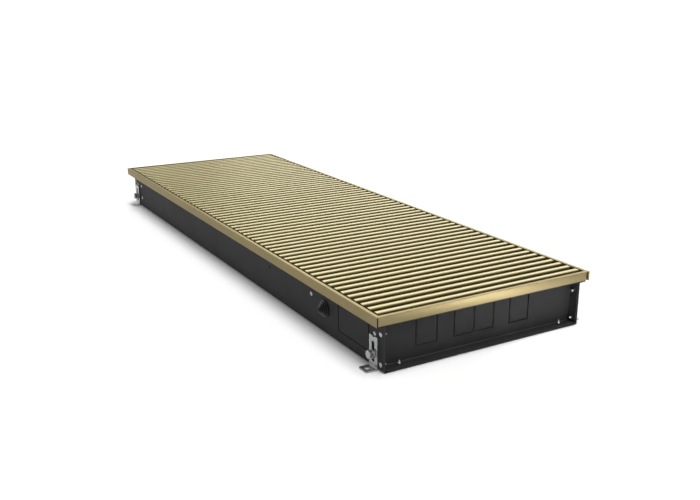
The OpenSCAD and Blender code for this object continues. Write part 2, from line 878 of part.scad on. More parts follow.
module clamp_bolts() {
    color(zinc) at_bolts() {
        translate([0, 0, bolt_tip_y]) cylinder(h = bolt_head_y - bolt_tip_y, r = bolt_r);
        translate([0, 0, bolt_head_y]) rotate([0, 0, 30]) hexagon(bolt_flats, bolt_head_h);
    }
}

module flat_washers() {
    color(zinc) at_bolts() translate([0, 0, washer_y]) pipe(washer_t, washer_r, bolt_r);
}

// Split ring under the bolt's head
module spring_washers() {
    color(zinc) at_bolts() translate([0, 0, spring_y]) difference() {
        pipe(washer_t, spring_washer_r, bolt_r);
        rotate([0, 0, 45])
            block([0, -spring_split / 2, -over],
                  [spring_washer_r + over, spring_split / 2, washer_t + over]);
    }
}

module clinch_nuts() {
    color(zinc) at_bolts() translate([0, 0, wall_in_y - nut_l]) pipe(nut_l, nut_r, bolt_r);
}

// ---- Roll-up grille ----

// Section of a slat in (X, Z), standing on z = 0
module slat_section() {
    top_half = slat_w / 2;
    translate([-slat_foot_w / 2, 0]) square([slat_foot_w, slat_foot_h]);
    translate([-web_t / 2, 0]) square([web_t, slat_h - slat_top_h]);
    translate([0, slat_h - slat_top_h]) polygon([
        [-top_half, 0], [top_half, 0], [top_half, slat_top_h - slat_bevel],
        [top_half - slat_bevel, slat_top_h], [-top_half + slat_bevel, slat_top_h],
        [-top_half, slat_top_h - slat_bevel]
    ]);
}

module slat() {
    difference() {
        translate([0, 0, slat_z]) along_y(slat_end_y) slat_section();
        for (y = wire_ys) rod_x(-web_t, web_t, y, wire_z, wire_r + wire_play);
    }
}

module grille_slats() {
    color(gold_anodised) for (i = [0:slat_n - 1])
        translate([slat_first_x + i * slat_pitch, 0, 0]) slat();
}

// Tubes that keep the slats apart, threaded on the wires
module grille_spacers() {
    color(black_paint) for (i = [0:slat_n - 2], y = wire_ys)
        translate([slat_first_x + i * slat_pitch + web_t / 2, y, wire_z]) rotate([0, 90, 0])
            pipe(slat_pitch - web_t, spacer_r, wire_r + wire_play);
}

module grille_wires() {
    color(zinc) for (y = wire_ys) rod_x(-wire_half_l, wire_half_l, y, wire_z, wire_r);
}

module grille_ferrules() {
    color(zinc) both_ends() for (y = wire_ys)
        translate([wire_half_l - ferrule_l, y, wire_z]) rotate([0, 90, 0])
            pipe(ferrule_l, spacer_r, wire_r);
}

trough();
near_end_plate();
far_end_plate();
end_plate_rivets();
floor_rivets();
support_rivets();
stop_rivets();
front_trim();
back_trim();
near_end_trim();
far_end_trim();
front_rest_strip();
back_rest_strip();
exchanger_fins();
exchanger_tubes();
near_return_bend();
far_return_bends();
near_support();
far_support();
inlet_fitting();
outlet_fitting();
vent_body();
vent_screw();
cable_grommet();
earth_stud();
earth_nuts();
earth_washer();
near_front_bracket();
near_back_bracket();
far_front_bracket();
far_back_bracket();
clamp_bolts();
flat_washers();
spring_washers();
clinch_nuts();
grille_slats();
grille_spacers();
grille_wires();
grille_ferrules();
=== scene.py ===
# Looks of a trench convector heater with a gold anodised roll-up grille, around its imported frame.
import json
import math

import bmesh
import bpy
from mathutils import Matrix, Vector

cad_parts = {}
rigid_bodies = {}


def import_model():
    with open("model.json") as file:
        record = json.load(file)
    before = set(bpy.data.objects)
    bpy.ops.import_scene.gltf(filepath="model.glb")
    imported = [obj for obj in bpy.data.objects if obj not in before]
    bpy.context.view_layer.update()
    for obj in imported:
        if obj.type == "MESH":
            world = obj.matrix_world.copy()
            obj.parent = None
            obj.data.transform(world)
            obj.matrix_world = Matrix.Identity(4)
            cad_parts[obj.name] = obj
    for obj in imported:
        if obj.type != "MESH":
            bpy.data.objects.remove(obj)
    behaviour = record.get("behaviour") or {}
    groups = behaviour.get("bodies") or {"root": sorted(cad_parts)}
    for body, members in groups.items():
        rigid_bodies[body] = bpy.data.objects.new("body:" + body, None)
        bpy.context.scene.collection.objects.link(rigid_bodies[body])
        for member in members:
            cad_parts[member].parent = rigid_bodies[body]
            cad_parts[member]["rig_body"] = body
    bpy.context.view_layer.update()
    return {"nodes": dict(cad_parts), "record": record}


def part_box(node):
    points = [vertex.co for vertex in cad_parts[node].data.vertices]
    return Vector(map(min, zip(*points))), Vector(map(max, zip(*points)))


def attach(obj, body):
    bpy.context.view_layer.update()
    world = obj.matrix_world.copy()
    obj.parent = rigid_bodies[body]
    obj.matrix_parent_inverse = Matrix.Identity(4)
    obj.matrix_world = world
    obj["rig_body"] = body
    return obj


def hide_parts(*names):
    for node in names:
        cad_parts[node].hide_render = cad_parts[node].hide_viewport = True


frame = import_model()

NODES = frame["nodes"]
SLOTS = {subpart["node"]: subpart["material_slot"] for subpart in frame["record"]["subparts"]}

# ---- Camera, from the photograph's viewpoint ----
CAMERA_AT = (1.26580, -0.64975, 0.43322)
CAMERA_TURN = (73.021, 0.036, 59.765)
CAMERA_LENS = 43.457
CAMERA_FILM = 36.0
CAMERA_REACH = 300

# ---- Light: directions, places in metres, angles in degrees ----
SKY_LOW = 0.08
SKY_HIGH = 0.32
SKY_RISE = (0.05, 0.6)
SUN_AT = (0, 0, 2)
FAR_WALL_AT = (-2.80, 2.40, 1.75)
FAR_WALL_TO = (0, 0, 0.08)
FAR_WALL_SIZE = (3.0, 2.0)
FAR_WALL_SPREAD = 180
FAR_WALL_POWER = 46.0
KEY_FROM = (0.12, 0.05, 1.0)
KEY_POWER = 2.0
KEY_SOFTNESS = 30
FILL_FROM = (0.80, -0.06, 0.75)
FILL_POWER = 0.7
FILL_SOFTNESS = 30
END_LAMP_AT = (0.67, 0.105, 0.145)
END_LAMP_TO = (0.67, 0.105, 0)
END_LAMP_SIZE = (0.04, 0.04)
END_LAMP_SPREAD = 105
END_LAMP_POWER = 0.70
FLOOR_SIZE = 120.0
FLOOR_COLOUR = (0.93, 0.93, 0.93, 1)
FLOOR_LIFT = 0.06

# ---- Sheet metal and trim, in metres as all that follows ----
SHEET = 0.0012
TRIM_WALL = 0.0008
TRIM_ROUND = 0.0013
MITRE_GAP = 0.00007
FOLD_ROUND = 0.0014
HEM_ROUND = 0.00059
HEM_HIGH = 0.0098
END_FLANGE_SHORT = 0.0010
CORNER_NOTCH = 0.0022
TRIM_LEG_GAP = 0.0011
RIVET_HOLE = 0.0017
FLOOR_DRILL_HIGH = 0.01
SPARE_HOLE_X = 0.180
SOFT_EDGE = 0.0002
SOFT_STEPS = 2
WALL_Y = 0.155
END_SKIRT_PLAY = 0.0005
END_SKIRT_SHORT = 0.0034
END_GROOVE_HIGH = 0.0010
END_GROOVE_DEEP = 0.0006
FOOT_FOLD_BELOW = 0.0049

# ---- Levelling brackets ----
BRACKET_SHEET = 0.0022
BRACKET_BEND = 0.0020
FOOT_ROUND = 0.0020
TOP_ROUND = 0.0012
SLOT_HALF = 0.0032
SLOT_LOW = 0.0123
SLOT_HIGH = 0.0325
NOTCH_ROUND = 0.0036
FOOT_HOLE = 0.0035
FOOT_HOLE_IN = 0.0068
BRACKET_EDGE = 0.00025
BRACKET_EDGE_ANGLE = 35

# ---- Cable grommet ----
GROMMET_GROOVE = 0.009
GROMMET_TIP = 0.0032
GROMMET_STEP = 0.002
GROMMET_STEPS = 4
GROMMET_FOOT_EDGE = 0.0002
GROMMET_ROUND = 0.0005
GROMMET_ROUND_MIDDLE = 0.00015
GROMMET_FLARE = 0.0013
GROMMET_SKIN_RIM = 0.0011
GROMMET_SKIN_IN = 0.0013
GROMMET_SKIN_DEEP = 0.0012

# ---- Knock-outs ----
KNOCK_SLIT = 0.0021
KNOCK_BRIDGE = 0.0012
KNOCK_WIDE = 0.0313
KNOCK_HIGH = 0.0360
KNOCK_Z = 0.0195
KNOCK_YS = (-0.08435, -0.02635, 0.00495, 0.06295)
SIDE_KNOCK_WIDE = 0.0746
SIDE_KNOCK_HIGH = 0.0388
SIDE_KNOCK_X = 0.4238
SIDE_KNOCK_Z = 0.0172

# ---- Slats ----
SLAT_COUNT = 61
SLAT_TOP = 0.0066
SLAT_TOP_HIGH = 0.0022
SLAT_FOOT = 0.0050
SLAT_FOOT_HIGH = 0.0016
SLAT_WEB = 0.0018
SLAT_ROUND = 0.0008
WIRE_HOLE = 0.0016

# ---- Fasteners ----
BOLT_FLATS = 0.010
BOLT_HEAD = 0.004
BOLT_SHANK = 0.003
BOLT_RIM = 0.0009
BOLT_DISH_SLOPE = 0.0004
BOLT_DISH_DEEP = 0.0003
CHAMFER_REACH = 1.1
CHAMFER_FLAT = 0.475
CHAMFER_SLOPE = 0.5
RIVET_HEAD = 0.0032
RIVET_DOME = 0.0014
RIVET_DOME_STEPS = 5
RIVET_RIM_HIGH = 0.00025
RIVET_RIM_IN = 0.0003
RIVET_DIMPLE = 0.0010
RIVET_DIMPLE_FLOOR = 0.0008
RIVET_DIMPLE_DEEP = 0.0005
RIVET_SWELL = 0.0005
RIVET_SHANK = 0.0016
RIVET_TAIL = 0.005
RIVET_PIN = 0.0010
RIVET_PIN_LONG = 0.0018
RIVET_SINK = 0.001
RIVET_SINK_STOP = 0.0005
WASHER_THICK = 0.0016
WASHER_RADIUS = 0.006
SPLIT_RADIUS = 0.005
SPLIT_GAP_HALF = 0.0005
SPLIT_TURN = -45
NUT_RADIUS = 0.0045
NUT_LONG = 0.006
NUT_EDGE = 0.0004
SHANK_PLAY = 0.0001
RING_EDGE = 0.00015
CLAMP_TIP_Y = 0.1458
THREAD_DEEP = 0.0004
THREAD_PITCH = 0.001
THREAD_LONG = 0.011
THREAD_LEAD = 0.0003

# ---- Shares of a direction's length: how nearly an edge or a face points along an axis ----
ALONG = 0.99
FACING = 0.9
LEANING = 0.2

SAME_PLACE = 2e-6
MERGE_WITHIN = 1e-6
SHARP_TURN = 1
NOISE_LOW, NOISE_HIGH = 0.3, 0.7
SMOOTH_ANGLE = math.radians(32)
AXIS_TO_FRONT = Matrix.Rotation(math.pi / 2, 4, "X")
AXIS_TO_BACK = Matrix.Rotation(-math.pi / 2, 4, "X")


# ---------------------------------------------------------------- modelling helpers

def deselect():
    """Leaves edit mode, with nothing selected."""
    if bpy.context.object and bpy.context.object.mode != "OBJECT":
        bpy.ops.object.mode_set(mode="OBJECT")
    bpy.ops.object.select_all(action="DESELECT")


def pick(*objects):
    """Selects these objects alone, the first as the active one."""
    deselect()
    for obj in objects:
        obj.select_set(True)
    bpy.context.view_layer.objects.active = objects[0]


def edit(obj):
    """Enters edit mode on one object, with nothing in it selected."""
    pick(obj)
    bpy.ops.object.mode_set(mode="EDIT")
    bpy.ops.mesh.select_all(action="DESELECT")


def leave():
    bpy.ops.object.mode_set(mode="OBJECT")


def choose(kind, test):
    """In edit mode, selects the faces or edges whose middle and direction pass the test."""
    bpy.ops.mesh.select_all(action="DESELECT")
    bpy.ops.mesh.select_mode(type=kind)
    data = bpy.context.object.data
    mesh = bmesh.from_edit_mesh(data)
    if kind == "FACE":
        for face in mesh.faces:
            if test(face.calc_center_median(), face.normal):
                face.select_set(True)
    else:
        for edge in mesh.edges:
            start, end = (corner.co for corner in edge.verts)
            if test((start + end) / 2, (end - start).normalized()):
                edge.select_set(True)
    mesh.select_flush_mode()
    bmesh.update_edit_mesh(data)


def same(a, b):
    return abs(a - b) < SAME_PLACE


def settle():
    """Puts the active object's place, turn and scale into its mesh."""
    bpy.ops.object.transform_apply(location=True, rotation=True, scale=True)
    return bpy.context.object


def block(name, low, high):
    """A cube from one corner to the other, as a start."""
    deselect()
    low, high = Vector(low), Vector(high)
    bpy.ops.mesh.primitive_cube_add(size=1, location=(low + high) / 2)
    bpy.context.object.name = name
    bpy.context.object.scale = high - low
    return settle()


def rod(name, start, end, radius, sides=24):
    """A cylinder from start to end, as a cutting tool."""
    deselect()
    start, end = Vector(start), Vector(end)
    way = end - start
    bpy.ops.mesh.primitive_cylinder_add(vertices=sides, radius=radius, depth=way.length,
                                        location=(start + end) / 2,
                                        rotation=way.to_track_quat("Z", "Y").to_euler())
    bpy.context.object.name = name
    return settle()


def turned(name, profile, sides=32, hollow=False):
    """A turned piece on the Z axis: a disc, or a ring, extruded and scaled along (radius, height)."""
    deselect()
    radius, height = profile[0]
    bpy.ops.mesh.primitive_circle_add(vertices=sides, radius=radius, location=(0, 0, height),
                                      fill_type="NOTHING" if hollow else "NGON")
    bpy.context.object.name = name
    obj = settle()
    bpy.ops.object.mode_set(mode="EDIT")
    bpy.ops.mesh.select_mode(type="EDGE" if hollow else "FACE")
    bpy.ops.mesh.select_all(action="SELECT")
    for next_radius, next_height in profile[1:]:
        extrude((0, 0, next_height - height))
        share = next_radius / radius
        bpy.ops.transform.resize(value=(share, share, 1), center_override=(0, 0, next_height))
        radius, height = next_radius, next_height
    bpy.ops.mesh.select_all(action="SELECT")
    bpy.ops.mesh.remove_doubles(threshold=MERGE_WITHIN)
    bpy.ops.mesh.normals_make_consistent(inside=False)
    leave()
    return obj


def extrude(way):
    bpy.ops.mesh.extrude_region_move(TRANSFORM_OT_translate={"value": tuple(way)})


def slice_at(point, normal, keep_all=True):
    """In edit mode, cuts all faces along a plane, and drops what lies past it unless keep_all."""
    bpy.ops.mesh.select_all(action="SELECT")
    bpy.ops.mesh.bisect(plane_co=point, plane_no=normal, use_fill=not keep_all,
                        clear_outer=not keep_all)


def bevel(width, segments, test):
    """In edit mode, rounds the edges that pass the test."""
    choose("EDGE", test)
    bpy.ops.mesh.bevel(offset=width, segments=segments, affect="EDGES")


def use_modifier(obj, kind, **values):
    """Applies one modifier to the mesh."""
    pick(obj)
    modifier = obj.modifiers.new(kind.lower(), kind)
    for name, value in values.items():
        setattr(modifier, name, value)
    bpy.ops.object.modifier_apply(modifier=modifier.name)


def carve(obj, *tools, operation="DIFFERENCE"):
    """Cuts each tool out of obj, or joins it on; the tools are used up."""
    for tool in tools:
        use_modifier(obj, "BOOLEAN", operation=operation, object=tool, solver="MANIFOLD")
        bpy.data.objects.remove(tool)
    return obj


def twin(obj, name, place):
    """A copy of obj with its own mesh, moved by place; a mirrored copy is turned right side out."""
    other = obj.copy()
    other.data = obj.data.copy()
    other.name = name
    bpy.context.scene.collection.objects.link(other)
    other.data.transform(place)
    if place.determinant() < 0:
        other.data.flip_normals()
    return other


def join(name, pieces):
    """Makes one object of several."""
    pick(*pieces)
    bpy.ops.object.join()
    bpy.context.object.name = name
    return bpy.context.object


def spread(obj, name, places):
    """Copies obj to every place, as one piece, and drops the original."""
    pieces = [twin(obj, name, place) for place in places]
    bpy.data.objects.remove(obj)
    return join(name, pieces)


def mirrored(x=1, y=1):
    """The place of the other end, the other side, or both."""
    return Matrix.Diagonal((x, y, 1, 1))


def at(x, y, z):
    return Matrix.Translation((x, y, z))


# ---------------------------------------------------------------- trim frame

def make_side_trim():
    """The long U profile on the -Y side, rounded along its outer edge and mitred at both ends."""
    low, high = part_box("front_trim")
    corner_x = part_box("near_end_trim")[1].x
    trim = block("trim_front", (-corner_x, low.y, high.z - TRIM_WALL), (corner_x, high.y, high.z))
    edit(trim)
    slice_at((0, low.y + TRIM_WALL, 0), (0, 1, 0))
    slice_at((0, high.y - TRIM_WALL, 0), (0, 1, 0))
    choose("FACE", lambda mid, way: way.z < -FACING
           and not low.y + TRIM_WALL < mid.y < high.y - TRIM_WALL)
    extrude((0, 0, low.z + TRIM_WALL - high.z))
    for end in (-1, 1):
        slice_at((end * (corner_x - MITRE_GAP), low.y, 0), Vector((end, 1, 0)).normalized(),
                 keep_all=False)
    along = lambda way: abs(way.x) > ALONG
    bevel(TRIM_ROUND, 5, lambda mid, way: along(way) and same(mid.y, low.y) and same(mid.z, high.z))
    bevel(SOFT_EDGE, SOFT_STEPS, lambda mid, way: along(way) and same(mid.y, high.y) and same(mid.z, high.z))
    bevel(SOFT_EDGE, SOFT_STEPS, lambda mid, way: along(way) and same(mid.z, low.z))
    leave()
    return trim


def make_end_trim():
    """The short profile at the connection end: its top stands out over a shorter skirt."""
    low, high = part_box("near_end_trim")
    side_y = -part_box("front_trim")[0].y
    lip_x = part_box("near_end_plate")[1].x
    skirt_x = lip_x + END_SKIRT_PLAY
    skirt_y = side_y - END_SKIRT_SHORT
    trim = block("trim_near_end", (low.x, -side_y, high.z - TRIM_WALL), (high.x, side_y, high.z))
    edit(trim)
    slice_at((skirt_x, 0, 0), (1, 0, 0))
    slice_at((skirt_x + TRIM_WALL, 0, 0), (1, 0, 0))
    slice_at((0, skirt_y, 0), (0, 1, 0))
    slice_at((0, -skirt_y, 0), (0, 1, 0))
    choose("FACE", lambda mid, way: way.z < -FACING and abs(mid.y) < skirt_y
           and skirt_x < mid.x < skirt_x + TRIM_WALL)
    extrude((0, 0, low.z + TRIM_WALL - high.z))
    for side in (-1, 1):
        slice_at((high.x, side * (side_y - MITRE_GAP), 0), Vector((-1, side, 0)).normalized(),
                 keep_all=False)
    along = lambda way: abs(way.y) > ALONG
    bevel(SOFT_EDGE, SOFT_STEPS, lambda mid, way: along(way) and same(mid.x, high.x)
          and mid.z > low.z + TRIM_WALL)
    bevel(SOFT_EDGE, SOFT_STEPS, lambda mid, way: along(way) and same(mid.z, low.z))
    leave()
    under_top = high.z - TRIM_WALL
    groove_x, groove_z = skirt_x + TRIM_WALL - END_GROOVE_DEEP, under_top - END_GROOVE_HIGH
    return carve(trim, block("saw", (groove_x, -side_y, groove_z), (high.x, side_y, under_top)))


# ---------------------------------------------------------------- grille

def make_slat():
    """One slat over x = 0: web, foot and rounded top, with a hole for each link wire."""
    low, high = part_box("grille_slats")
    wires_low, wires_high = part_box("grille_wires")
    slat = block("slat", (-SLAT_WEB / 2, low.y, low.z), (SLAT_WEB / 2, high.y, high.z))
    edit(slat)
    foot_z = low.z + SLAT_FOOT_HIGH
    top_z = high.z - SLAT_TOP_HIGH
    slice_at((0, 0, foot_z), (0, 0, 1))
    slice_at((0, 0, top_z), (0, 0, 1))
    for side in (-1, 1):
        choose("FACE", lambda mid, way: way.x * side > FACING and mid.z > top_z)
        extrude((side * (SLAT_TOP - SLAT_WEB) / 2, 0, 0))
        choose("FACE", lambda mid, way: way.x * side > FACING and mid.z < foot_z)
        extrude((side * (SLAT_FOOT - SLAT_WEB) / 2, 0, 0))
    bevel(SLAT_ROUND, 3, lambda mid, way: abs(way.y) > ALONG and same(mid.z, high.z))
    leave()
    wire_z = (wires_low.z + wires_high.z) / 2
    wire_y = wires_high.y - (wires_high.z - wires_low.z) / 2
    return carve(slat, *[rod("drill", (-SLAT_WEB, y, wire_z), (SLAT_WEB, y, wire_z), WIRE_HOLE, 12)
                         for y in (-wire_y, 0, wire_y)])


def make_slats():
    """All slats, evenly spaced from end to end."""
    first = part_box("grille_slats")[0].x + SLAT_TOP / 2
    pitch = -2 * first / (SLAT_COUNT - 1)
    places = [at(first + pitch * number, 0, 0) for number in range(SLAT_COUNT)]
    return spread(make_slat(), "slats", places)


# ---------------------------------------------------------------- levelling brackets

def make_bracket():
    """The bracket on the -Y wall at the connection end: slotted upright and foot, bent from strip."""
    low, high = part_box("near_front_bracket")
    thick = BRACKET_SHEET
    face_y = high.y - thick
    middle = (low.x + high.x) / 2
    bracket = block("bracket", (low.x, face_y, low.z), (high.x, high.y, high.z))
    edit(bracket)
    slice_at((0, 0, low.z + thick), (0, 0, 1))
    choose("FACE", lambda mid, way: way.y < -FACING and mid.z < low.z + thick)
    extrude((0, low.y - face_y, 0))
    bevel(BRACKET_BEND, 5, lambda mid, way: abs(way.x) > FACING and same(mid.y, high.y)
          and same(mid.z, low.z))
    bevel(FOLD_ROUND, 3, lambda mid, way: abs(way.x) > FACING and same(mid.y, face_y)
          and same(mid.z, low.z + thick))
    bevel(FOOT_ROUND, 4, lambda mid, way: abs(way.z) > FACING and same(mid.y, low.y))
    bevel(TOP_ROUND, 3, lambda mid, way: abs(way.y) > FACING and same(mid.z, high.z))
    leave()
    through = lambda z, radius: rod("drill", (middle, low.y, z), (middle, high.y + thick, z), radius)
    slot = block("mill", (middle - SLOT_HALF, low.y, SLOT_LOW),
                 (middle + SLOT_HALF, high.y + thick, SLOT_HIGH))
    carve(bracket, through(SLOT_LOW, SLOT_HALF), through(SLOT_HIGH, SLOT_HALF), slot,
          through(middle_of("stop_rivets").z, NOTCH_ROUND))
    hole_y = low.y + FOOT_HOLE_IN
    carve(bracket, rod("drill", (middle, hole_y, -thick), (middle, hole_y, 2 * thick), FOOT_HOLE))
    use_modifier(bracket, "BEVEL", width=BRACKET_EDGE, segments=SOFT_STEPS, limit_method="ANGLE",
                 angle_limit=math.radians(BRACKET_EDGE_ANGLE), use_clamp_overlap=True)
    return bracket


# ---------------------------------------------------------------- fasteners

def make_hexagon(name, flats, top):
    """A hexagonal head on z = 0 with chamfered corners on top."""
    corner = flats / math.sqrt(3)
    blank = turned(name, [(corner, 0), (corner, top)], 6)
    wide, face = corner * CHAMFER_REACH, flats * CHAMFER_FLAT
    barrel = turned("chamfer", [(wide, -top), (wide, top - (wide - face) * CHAMFER_SLOPE), (face, top)], 36)
    return carve(blank, barrel, operation="INTERSECT")


def make_bolt():
    """A clamp bolt with its head on z = 0, pointing down into the wall."""
    tip = -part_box("clamp_bolts")[0].y - BOLT_HEAD - CLAMP_TIP_Y
    head = make_hexagon("bolt", BOLT_FLATS, BOLT_HEAD)
    edit(head)
    choose("FACE", lambda mid, way: way.z > ALONG)
    bpy.ops.mesh.inset(thickness=BOLT_RIM, depth=0)
    bpy.ops.mesh.inset(thickness=BOLT_DISH_SLOPE, depth=-BOLT_DISH_DEEP)
    leave()
    core = BOLT_SHANK - THREAD_DEEP
    profile = [(core - THREAD_DEEP, -tip)]
    for turn in range(int(THREAD_LONG / THREAD_PITCH)):
        z = -tip + THREAD_LEAD + turn * THREAD_PITCH
        profile += [(core, z), (BOLT_SHANK, z + THREAD_PITCH / 2)]
    profile.append((BOLT_SHANK, BOLT_HEAD / 4))
    return carve(head, turned("shank", profile, 24), operation="UNION")


def ring(name, outer, inner, low, high, edge=RING_EDGE):
    """A flat ring with its edges broken, such as a washer or a short tube."""
    outside = [(outer - edge, low), (outer, low + edge), (outer, high - edge), (outer - edge, high)]
    inside = [(inner + edge, high), (inner, high - edge), (inner, low + edge), (inner + edge, low)]
    return turned(name, outside + inside + outside[:1], hollow=True)


def make_rivet(name, grip, countersunk=False):
    """A blind rivet along Z: domed or countersunk head at z = 0, formed tail below the sheets."""
    if countersunk:
        profile = [(RIVET_SHANK + RIVET_SINK, 0), (RIVET_SHANK, -SHEET + RIVET_SINK_STOP)]
    else:
        rim = [(RIVET_HEAD - RIVET_RIM_IN, 0), (RIVET_HEAD, RIVET_RIM_HIGH)]
        turns = [math.pi / 2 * step / (RIVET_DOME_STEPS + 1) for step in range(1, RIVET_DOME_STEPS + 1)]
        dome = [(RIVET_HEAD * math.cos(turn),
                 RIVET_RIM_HIGH + (RIVET_DOME - RIVET_RIM_HIGH) * math.sin(turn)) for turn in turns]
        dimple = [(RIVET_DIMPLE, RIVET_DOME), (RIVET_DIMPLE_FLOOR, RIVET_DOME - RIVET_DIMPLE_DEEP)]
        profile = list(reversed([(RIVET_SHANK, 0)] + rim + dome + dimple))
    swell = RIVET_SHANK + RIVET_SWELL
    tail = -grip
    profile += [(RIVET_SHANK, tail - 0.0004), (swell, tail - 0.0012), (swell, tail - RIVET_TAIL * 0.55),
                (RIVET_SHANK, tail - RIVET_TAIL * 0.8), (RIVET_SHANK * 0.8, tail - RIVET_TAIL)]
    if countersunk:
        profile += [(RIVET_PIN, tail - RIVET_TAIL), (RIVET_PIN, tail - RIVET_TAIL - RIVET_PIN_LONG)]
    return turned(name, profile, 20)


def on_walls(part, name, spots):
    """Copies a part that points along +Z to each (x, z) on both long walls, pointing outwards."""
    places = []
    for x, z in spots:
        places += [at(x, -WALL_Y, z) @ AXIS_TO_FRONT, at(x, WALL_Y, z) @ AXIS_TO_BACK]
    return spread(part, name, places)


def both_ends(x, *heights):
    """The (x, z) spots at these heights, at both ends of the trough."""
    return [(end * x, z) for end in (-1, 1) for z in heights]


def middle_of(node):
    """The middle of a CAD node's box."""
    low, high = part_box(node)
    return (low + high) / 2


def end_rivet_spots():
    """Where the end plates are riveted to the long walls."""
    low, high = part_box("end_plate_rivets")
    return both_ends(high.x - RIVET_HEAD, low.z + RIVET_HEAD, high.z - RIVET_HEAD)


def support_rivet_lines():
    """The near and far places and the upper and lower heights of the supports' rivets."""
    low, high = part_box("support_rivets")
    return high.x - RIVET_HEAD, low.x + RIVET_HEAD, high.z - RIVET_HEAD, low.z + RIVET_HEAD


def make_wall_rivets():
    """The rivets of the end plates, those that stop the brackets, and those of the supports."""
    end_rivets = on_walls(make_rivet("rivet", 2 * SHEET), "rivets_end_plates", end_rivet_spots())
    stop_spots = both_ends(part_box("stop_rivets")[1].x - RIVET_HEAD, middle_of("stop_rivets").z)
    stops = on_walls(make_rivet("rivet", SHEET), "rivets_stops", stop_spots)
    near, far, upper, lower = support_rivet_lines()
    supports = on_walls(make_rivet("rivet", 2 * SHEET), "rivets_supports",
                        [(near, upper), (far, upper), (far, lower)])
    return end_rivets, stops, supports


def floor_rivet_spots():
    """Where the end plates are riveted to the floor."""
    low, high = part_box("floor_rivets")
    wide = RIVET_SHANK + RIVET_SINK
    return [(x, y) for x in (low.x + wide, high.x - wide) for y in (low.y + wide, high.y - wide)]


def make_floor_rivets():
    """The rivets of the end plates' feet, heads down and flush."""
    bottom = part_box("floor_rivets")[0].z
    rivet = make_rivet("rivet", 2 * SHEET, countersunk=True)
    places = [at(x, y, bottom) @ Matrix.Rotation(math.pi, 4, "X") for x, y in floor_rivet_spots()]
    return spread(rivet, "rivets_floor", places)


def bolt_spots():
    """Where the clamp bolts go through the long walls."""
    return both_ends(middle_of("near_front_bracket").x, middle_of("clamp_bolts").z)


def make_clamping():
    """Bolts, flat washers, split washers and clinch nuts of the four brackets."""
    bolt_out, flat_out, split_out = (-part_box(node)[0].y - WALL_Y
                                     for node in ("clamp_bolts", "flat_washers", "spring_washers"))
    bolt = make_bolt()
    bolt.data.transform(at(0, 0, bolt_out - BOLT_HEAD))
    washer = ring("washer", WASHER_RADIUS, BOLT_SHANK + SHANK_PLAY, flat_out - WASHER_THICK, flat_out)
    split = make_split_washer(split_out - WASHER_THICK, split_out)
    nut = ring("nut", NUT_RADIUS, BOLT_SHANK + SHANK_PLAY / 2, -SHEET - NUT_LONG, -SHEET, NUT_EDGE)
    return [on_walls(piece, name, bolt_spots())
            for piece, name in ((bolt, "bolts_clamp"), (washer, "washers_flat"),
                                (split, "washers_split"), (nut, "nuts_clinch"))]


def make_split_washer(low, high):
    """A ring cut through at one place."""
    washer = ring("washer", SPLIT_RADIUS, BOLT_SHANK + SHANK_PLAY, low, high)
    past = 2 * SPLIT_GAP_HALF
    gap = block("saw", (0, -SPLIT_GAP_HALF, low - past), (SPLIT_RADIUS + past, SPLIT_GAP_HALF, high + past))
    gap.data.transform(Matrix.Rotation(math.radians(SPLIT_TURN), 4, "Z"))
    return carve(washer, gap)


# ---------------------------------------------------------------- cable grommet

def make_grommet():
    """Stepped rubber grommet, with a groove for the sheet and a thin skin in its tip."""
    low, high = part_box("cable_grommet")
    axis = middle_of("cable_grommet")
    flange = (high.z - low.z) / 2
    step_in = (flange - GROMMET_TIP) / GROMMET_STEPS
    profile = [(GROMMET_GROOVE, -SHEET - GROMMET_STEP),
               (flange - GROMMET_FLARE, -SHEET - GROMMET_FOOT_EDGE),
               (GROMMET_GROOVE, -SHEET), (GROMMET_GROOVE, 0)]
    for step in range(GROMMET_STEPS + 1):
        radius = flange - step * step_in
        bottom = step * GROMMET_STEP
        top = bottom + GROMMET_STEP
        profile += [(radius, bottom + GROMMET_FOOT_EDGE), (radius, top - GROMMET_ROUND),
                    (radius - GROMMET_ROUND_MIDDLE, top - GROMMET_ROUND_MIDDLE),
                    (radius - GROMMET_ROUND, top)]
    tip = (GROMMET_STEPS + 1) * GROMMET_STEP
    profile += [(GROMMET_TIP - GROMMET_SKIN_RIM, tip),
                (GROMMET_TIP - GROMMET_SKIN_IN, tip - GROMMET_SKIN_DEEP)]
    grommet = turned("grommet", profile, 64)
    grommet.data.transform(at(axis.x, -WALL_Y, axis.z) @ AXIS_TO_FRONT)
    return grommet


# ---------------------------------------------------------------- sheet-metal housing

def flat(name, low, high):
    """A flat sheet between two corners, level or facing along X, as a start."""
    deselect()
    low, high = Vector(low), Vector(high)
    size = high - low
    upright = size.x == 0
    bpy.ops.mesh.primitive_plane_add(size=1, location=(low + high) / 2,
                                     rotation=(0, math.pi / 2 if upright else 0, 0))
    bpy.context.object.name = name
    bpy.context.object.scale = (size.z if upright else size.x, size.y, 1)
    return settle()


def fold_out(way, test):
    """In edit mode, draws the chosen edges of the sheet out into a new strip."""
    choose("EDGE", test)
    extrude(way)


def round_folds(radius, low_z, high_z):
    """In edit mode, rounds the lines between two heights at which the sheet turns."""
    bpy.ops.mesh.select_all(action="DESELECT")
    mesh = bmesh.from_edit_mesh(bpy.context.object.data)
    for line in mesh.edges:
        height = (line.verts[0].co.z + line.verts[1].co.z) / 2
        if len(line.link_faces) == 2 and line.calc_face_angle() > SHARP_TURN and low_z < height < high_z:
            line.select_set(True)
    bmesh.update_edit_mesh(bpy.context.object.data)
    bpy.ops.mesh.bevel(offset=radius, segments=4, affect="EDGES")


